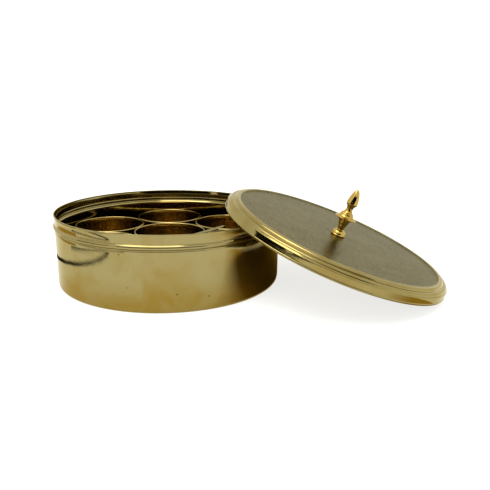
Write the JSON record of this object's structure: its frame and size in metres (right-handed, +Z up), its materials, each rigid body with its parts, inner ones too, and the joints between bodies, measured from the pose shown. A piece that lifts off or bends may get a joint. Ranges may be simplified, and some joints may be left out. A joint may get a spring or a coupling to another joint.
{
  "type": "spice box",
  "caption": "Round brass spice box with loose inner cups, a small spoon and a moulded lid with a turned knob, lid off and leaning on the rim.",
  "frame": {"origin": "centre of the box's flat underside, on the floor", "axes": "+Z up along the box's axis, +X towards the side where the lid leans, -Y towards the front"},
  "size_m": [0.3818, 0.2472, 0.0936],
  "materials": {
    "box_brass": "spun sheet brass, polished and lacquered, lightly mottled",
    "base_brass": "pressed sheet brass, dull",
    "cup_brass": "spun sheet brass, polished",
    "spoon_brass": "cast and filed brass",
    "lid_brass": "plate finely stippled and matt, shoulder polished",
    "knob_brass": "turned and polished",
    "screw_brass": "turned, as machined"
  },
  "bodies": {
    "box": {"box_wall": "box_brass", "box_base": "base_brass"},
    "cup_centre": {"cup_centre": "cup_brass"},
    "cup_1": {"cup_1": "cup_brass"},
    "cup_2": {"cup_2": "cup_brass"},
    "cup_3": {"cup_3": "cup_brass"},
    "cup_4": {"cup_4": "cup_brass"},
    "cup_5": {"cup_5": "cup_brass"},
    "cup_6": {"cup_6": "cup_brass"},
    "spoon": {"spoon": "spoon_brass"},
    "lid": {"lid_shell": "lid_brass", "knob": "knob_brass", "knob_screw": "screw_brass", "knob_washer": "screw_brass"}
  },
  "joints": [
    {"name": "lid_lift", "type": "slide", "parent": "box", "child": "lid", "axis": [0, 0, 1], "range_m": [0, 0.1]},
    {"name": "cup_centre_lift", "type": "slide", "parent": "box", "child": "cup_centre", "axis": [0, 0, 1], "range_m": [0, 0.075]},
    {"name": "cup_1_lift", "type": "slide", "parent": "box", "child": "cup_1", "axis": [0, 0, 1], "range_m": [0, 0.022]},
    {"name": "cup_2_lift", "type": "slide", "parent": "box", "child": "cup_2", "axis": [0, 0, 1], "range_m": [0, 0.075]},
    {"name": "cup_3_lift", "type": "slide", "parent": "box", "child": "cup_3", "axis": [0, 0, 1], "range_m": [0, 0.075]},
    {"name": "cup_4_lift", "type": "slide", "parent": "box", "child": "cup_4", "axis": [0, 0, 1], "range_m": [0, 0.075]},
    {"name": "cup_5_lift", "type": "slide", "parent": "box", "child": "cup_5", "axis": [0, 0, 1], "range_m": [0, 0.075]},
    {"name": "cup_6_lift", "type": "slide", "parent": "box", "child": "cup_6", "axis": [0, 0, 1], "range_m": [0, 0.001]},
    {"name": "spoon_lift", "type": "slide", "parent": "cup_centre", "child": "spoon", "axis": [0, 0, 1], "range_m": [0, 0.08]}
  ]
}
